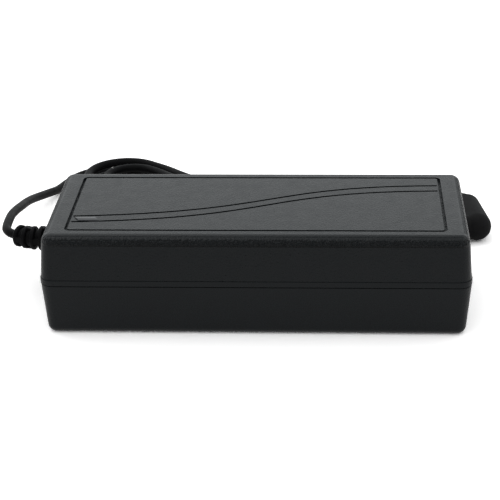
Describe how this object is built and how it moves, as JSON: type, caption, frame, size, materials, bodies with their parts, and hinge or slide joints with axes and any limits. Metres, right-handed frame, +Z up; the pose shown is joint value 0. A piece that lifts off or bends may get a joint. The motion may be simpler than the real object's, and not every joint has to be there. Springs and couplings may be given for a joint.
{
  "type": "laptop power adapter",
  "caption": "Black two-shell laptop power adapter with a textured top panel, an indicator window, a three-pole mains inlet, and a captive low-voltage cord that ends in a right-angle barrel plug.",
  "frame": {"origin": "centre of the case's base, on the surface that it stands on", "axes": "+X along the case towards the mains inlet, +Y towards the side where the low-voltage cord lies, +Z up"},
  "size_m": [0.1631, 0.1375, 0.0327],
  "materials": {
    "case": "black, spark-textured moulding with a fine matt grain on top",
    "window": "clear grey, glossy",
    "lamp": "tinted lamp body",
    "moulding": "black, smooth moulding",
    "contact": "nickel-plated brass",
    "sheet": "thin insulating sheet",
    "board": "glass-epoxy laminate",
    "component_dark": "moulded epoxy",
    "component_blue": "dipped or sleeved, glossy",
    "component_green": "dipped or sleeved, glossy",
    "component_yellow": "moulded box or polyester tape",
    "component_white": "moulded epoxy",
    "ferrite": "sintered, dark grey",
    "copper_wire": "enamelled copper wire",
    "heatsink": "rolled sheet",
    "lead_insulation": "soft vinyl insulation",
    "cord_jacket": "black vinyl, satin"
  },
  "bodies": {
    "root": {"top_cover": "case", "bottom_cover": "case", "indicator_window": "window", "indicator_lamp": "lamp", "inlet_body": "moulding", "inlet_blades": "contact", "insulation_sheet": "sheet", "circuit_board": "board", "mains_fuse": "component_dark", "surge_varistor": "component_blue", "inrush_thermistor": "component_green", "x_capacitor": "component_yellow", "filter_choke_core": "ferrite", "filter_choke_windings": "copper_wire", "bridge_rectifier": "component_dark", "bulk_capacitor": "component_blue", "primary_heatsink": "heatsink", "switching_transistor": "component_dark", "controller_chip": "component_dark", "optocoupler": "component_white", "y_capacitor": "component_blue", "transformer_core": "ferrite", "transformer_bobbin": "component_dark", "transformer_windings": "component_yellow", "secondary_heatsink": "heatsink", "output_rectifier": "component_dark", "output_capacitors": "component_green", "output_choke_core": "ferrite", "output_choke_winding": "copper_wire", "output_leads": "lead_insulation", "strain_relief": "cord_jacket", "dc_cord_lead": "cord_jacket", "dc_cord_hank": "cord_jacket", "dc_cord_tail": "cord_jacket", "cord_tie": "cord_jacket", "plug_grip": "moulding", "plug_barrel": "contact", "plug_insulator": "moulding", "plug_contact": "contact"}
  },
  "joints": []
}
